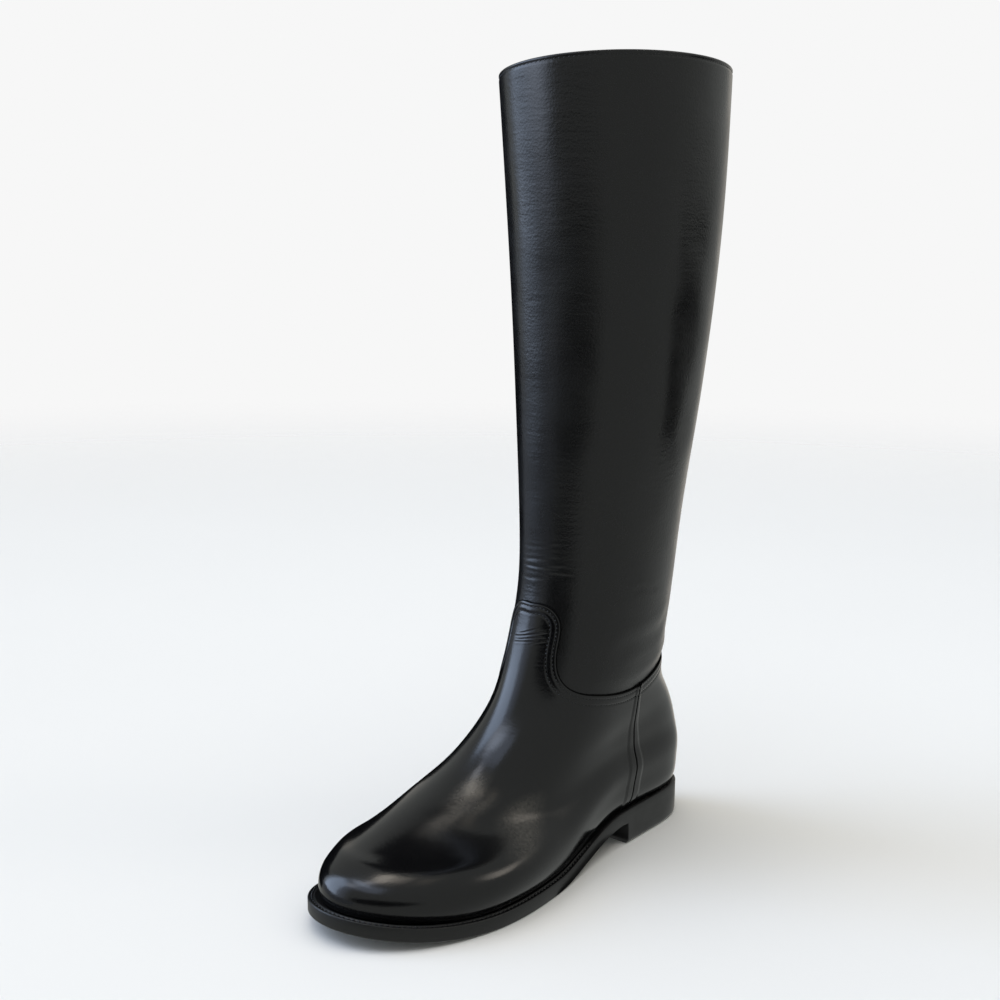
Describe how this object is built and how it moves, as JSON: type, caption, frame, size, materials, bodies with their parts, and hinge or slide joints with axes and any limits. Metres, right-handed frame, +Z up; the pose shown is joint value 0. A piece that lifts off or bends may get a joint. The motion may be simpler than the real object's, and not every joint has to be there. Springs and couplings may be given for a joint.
{
  "type": "tall boot",
  "caption": "Tall pull-on riding boot in smooth black leather for the left foot, with an open straight collar, a tongued vamp over the shaft, a counter, a stitched welt and a low heel.",
  "frame": {"origin": "on the floor, in the middle of the boot's box", "axes": "+Z up along the shaft, toe towards -Y, outer side of the left foot towards +X"},
  "size_m": [0.111, 0.2824, 0.4355],
  "materials": {
    "shaft_leather": "smooth black calf, semi-gloss",
    "foot_leather": "smooth black calf, polished",
    "welt": "black, edge dressed",
    "outsole": "black, smooth satin edge",
    "heel": "black, smooth satin edge",
    "insole": "plain tan lining leather"
  },
  "bodies": {
    "root": {"upper": "shaft_leather", "vamp": "foot_leather", "counter": "foot_leather", "welt": "welt", "outsole": "outsole", "heel": "heel", "insole": "insole"}
  },
  "joints": []
}
